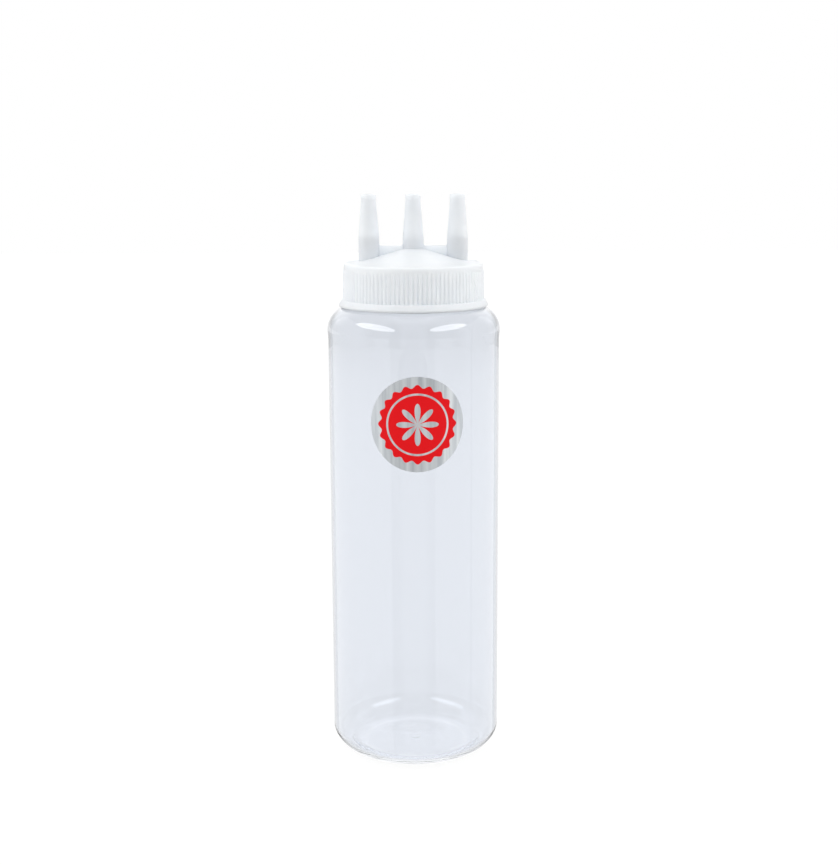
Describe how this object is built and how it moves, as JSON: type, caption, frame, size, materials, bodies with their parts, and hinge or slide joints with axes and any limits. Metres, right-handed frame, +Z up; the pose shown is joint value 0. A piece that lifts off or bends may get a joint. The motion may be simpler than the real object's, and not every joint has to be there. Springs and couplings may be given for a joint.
{
  "type": "condiment squeeze bottle",
  "caption": "Clear round squeeze bottle with a white ribbed screw cap that ends in a row of tapered pouring nozzles.",
  "frame": {"origin": "centre of the foot, on the surface that the bottle stands on", "axes": "+Z up along the bottle's axis, the label faces -Y, the nozzles stand in a row along X"},
  "size_m": [0.0706, 0.0706, 0.2329],
  "materials": {
    "clear_bottle": "clear, smooth and glossy",
    "white_cap": "white moulded, satin",
    "seal": "soft, matt, off-white",
    "label_film": "metallised film with a red print"
  },
  "bodies": {
    "bottle_body": {"bottle": "clear_bottle", "label": "label_film"},
    "seal_body": {"cap_seal": "seal"},
    "cap_body": {"cap": "white_cap"}
  },
  "joints": [
    {"name": "cap_lift", "type": "slide", "parent": "bottle_body", "child": "seal_body", "axis": [0, 0, 1], "range_m": [0, 0.00635]},
    {"name": "cap_turn", "type": "hinge", "parent": "seal_body", "child": "cap_body", "pos_m": [0, 0, 0.1975], "axis": [0, 0, 1], "range_deg": [0, 540]}
  ],
  "couplings": [
    {"joint": "cap_lift", "follows": "cap_turn", "m_per_rad": 0.00067371}
  ]
}
